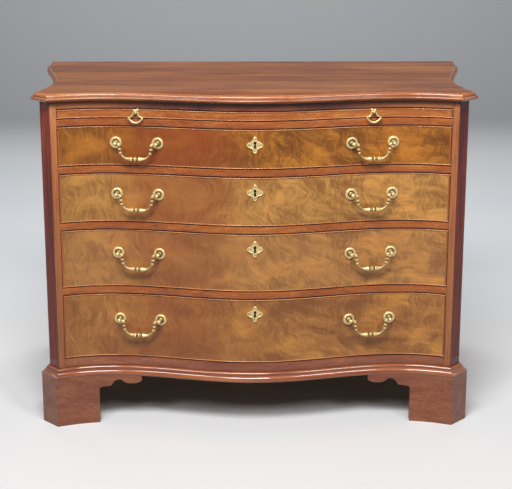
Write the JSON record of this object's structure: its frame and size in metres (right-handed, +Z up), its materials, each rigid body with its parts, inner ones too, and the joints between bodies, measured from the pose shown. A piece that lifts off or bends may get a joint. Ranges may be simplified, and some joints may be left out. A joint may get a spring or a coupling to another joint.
{
  "type": "chest of drawers",
  "caption": "Serpentine-fronted chest of long graduated drawers under a brushing slide, with canted fluted corners, a moulded top, brass bail handles and bracket feet.",
  "frame": {"origin": "on the floor under the centre of the chest's bounding box", "axes": "+X to the right as seen from the front, +Y towards the back, +Z up; the drawers open along -Y"},
  "size_m": [1.164, 0.64, 0.85],
  "materials": {
    "mahogany": "wax-polished mahogany, reddish brown",
    "dark_mahogany": "wax-polished mahogany, dark with age",
    "flame_veneer": "polished flame mahogany veneer",
    "oak": "bare quartered oak",
    "pine": "bare pine, aged",
    "brass": "cast and lacquered brass, dull gold"
  },
  "bodies": {
    "carcase": {"top": "mahogany", "side_left": "mahogany", "side_right": "mahogany", "post_left": "dark_mahogany", "post_right": "dark_mahogany", "back_board_lower": "pine", "back_board_upper": "pine", "drawer_rail_1": "mahogany", "drawer_rail_2": "mahogany", "drawer_rail_3": "mahogany", "slide_rail": "mahogany", "top_rail": "dark_mahogany", "bottom_rail": "mahogany", "bottom_board": "pine", "base_moulding": "mahogany", "foot_front_left": "mahogany", "foot_rear_left": "mahogany", "foot_front_right": "mahogany", "foot_rear_right": "mahogany"},
    "slide": {"slide_board": "mahogany", "slide_boss_left": "brass", "slide_boss_right": "brass"},
    "slide_pull_left": {"slide_pull_left": "brass"},
    "slide_pull_right": {"slide_pull_right": "brass"},
    "drawer_1": {"drawer_1_front": "flame_veneer", "drawer_1_box": "oak", "drawer_1_escutcheon": "brass", "drawer_1_rosette_left_left": "brass", "drawer_1_rosette_left_right": "brass", "drawer_1_rosette_right_left": "brass", "drawer_1_rosette_right_right": "brass"},
    "drawer_1_bail_left": {"drawer_1_bail_left": "brass"},
    "drawer_1_bail_right": {"drawer_1_bail_right": "brass"},
    "drawer_2": {"drawer_2_front": "flame_veneer", "drawer_2_box": "oak", "drawer_2_escutcheon": "brass", "drawer_2_rosette_left_left": "brass", "drawer_2_rosette_left_right": "brass", "drawer_2_rosette_right_left": "brass", "drawer_2_rosette_right_right": "brass"},
    "drawer_2_bail_left": {"drawer_2_bail_left": "brass"},
    "drawer_2_bail_right": {"drawer_2_bail_right": "brass"},
    "drawer_3": {"drawer_3_front": "flame_veneer", "drawer_3_box": "oak", "drawer_3_escutcheon": "brass", "drawer_3_rosette_left_left": "brass", "drawer_3_rosette_left_right": "brass", "drawer_3_rosette_right_left": "brass", "drawer_3_rosette_right_right": "brass"},
    "drawer_3_bail_left": {"drawer_3_bail_left": "brass"},
    "drawer_3_bail_right": {"drawer_3_bail_right": "brass"},
    "drawer_4": {"drawer_4_front": "flame_veneer", "drawer_4_box": "oak", "drawer_4_escutcheon": "brass", "drawer_4_rosette_left_left": "brass", "drawer_4_rosette_left_right": "brass", "drawer_4_rosette_right_left": "brass", "drawer_4_rosette_right_right": "brass"},
    "drawer_4_bail_left": {"drawer_4_bail_left": "brass"},
    "drawer_4_bail_right": {"drawer_4_bail_right": "brass"}
  },
  "joints": [
    {"name": "slide_out", "type": "slide", "parent": "carcase", "child": "slide", "axis": [0, -1, 0], "range_m": [0, 0.3]},
    {"name": "slide_pull_left_swing", "type": "hinge", "parent": "slide", "child": "slide_pull_left", "pos_m": [-0.28913, -0.25988, 0.8028], "axis": [-0.9906, 0.1364, 0], "range_deg": [-5, 100]},
    {"name": "slide_pull_right_swing", "type": "hinge", "parent": "slide", "child": "slide_pull_right", "pos_m": [0.28913, -0.25988, 0.8028], "axis": [-0.9906, -0.1364, 0], "range_deg": [-5, 100]},
    {"name": "drawer_1_slide", "type": "slide", "parent": "carcase", "child": "drawer_1", "axis": [0, -1, 0], "range_m": [0, 0.42]},
    {"name": "drawer_1_bail_left_swing", "type": "hinge", "parent": "drawer_1", "child": "drawer_1_bail_left", "pos_m": [-0.29051, -0.27189, 0.7263], "axis": [-0.9905, 0.1375, 0], "range_deg": [-12, 100]},
    {"name": "drawer_1_bail_right_swing", "type": "hinge", "parent": "drawer_1", "child": "drawer_1_bail_right", "pos_m": [0.29051, -0.27189, 0.7263], "axis": [-0.9905, -0.1375, 0], "range_deg": [-12, 100]},
    {"name": "drawer_2_slide", "type": "slide", "parent": "carcase", "child": "drawer_2", "axis": [0, -1, 0], "range_m": [0, 0.42]},
    {"name": "drawer_2_bail_left_swing", "type": "hinge", "parent": "drawer_2", "child": "drawer_2_bail_left", "pos_m": [-0.29051, -0.27189, 0.5983], "axis": [-0.9905, 0.1375, 0], "range_deg": [-12, 100]},
    {"name": "drawer_2_bail_right_swing", "type": "hinge", "parent": "drawer_2", "child": "drawer_2_bail_right", "pos_m": [0.29051, -0.27189, 0.5983], "axis": [-0.9905, -0.1375, 0], "range_deg": [-12, 100]},
    {"name": "drawer_3_slide", "type": "slide", "parent": "carcase", "child": "drawer_3", "axis": [0, -1, 0], "range_m": [0, 0.42]},
    {"name": "drawer_3_bail_left_swing", "type": "hinge", "parent": "drawer_3", "child": "drawer_3_bail_left", "pos_m": [-0.29051, -0.27189, 0.4473], "axis": [-0.9905, 0.1375, 0], "range_deg": [-12, 100]},
    {"name": "drawer_3_bail_right_swing", "type": "hinge", "parent": "drawer_3", "child": "drawer_3_bail_right", "pos_m": [0.29051, -0.27189, 0.4473], "axis": [-0.9905, -0.1375, 0], "range_deg": [-12, 100]},
    {"name": "drawer_4_slide", "type": "slide", "parent": "carcase", "child": "drawer_4", "axis": [0, -1, 0], "range_m": [0, 0.42]},
    {"name": "drawer_4_bail_left_swing", "type": "hinge", "parent": "drawer_4", "child": "drawer_4_bail_left", "pos_m": [-0.29051, -0.27189, 0.2743], "axis": [-0.9905, 0.1375, 0], "range_deg": [-12, 100]},
    {"name": "drawer_4_bail_right_swing", "type": "hinge", "parent": "drawer_4", "child": "drawer_4_bail_right", "pos_m": [0.29051, -0.27189, 0.2743], "axis": [-0.9905, -0.1375, 0], "range_deg": [-12, 100]}
  ]
}
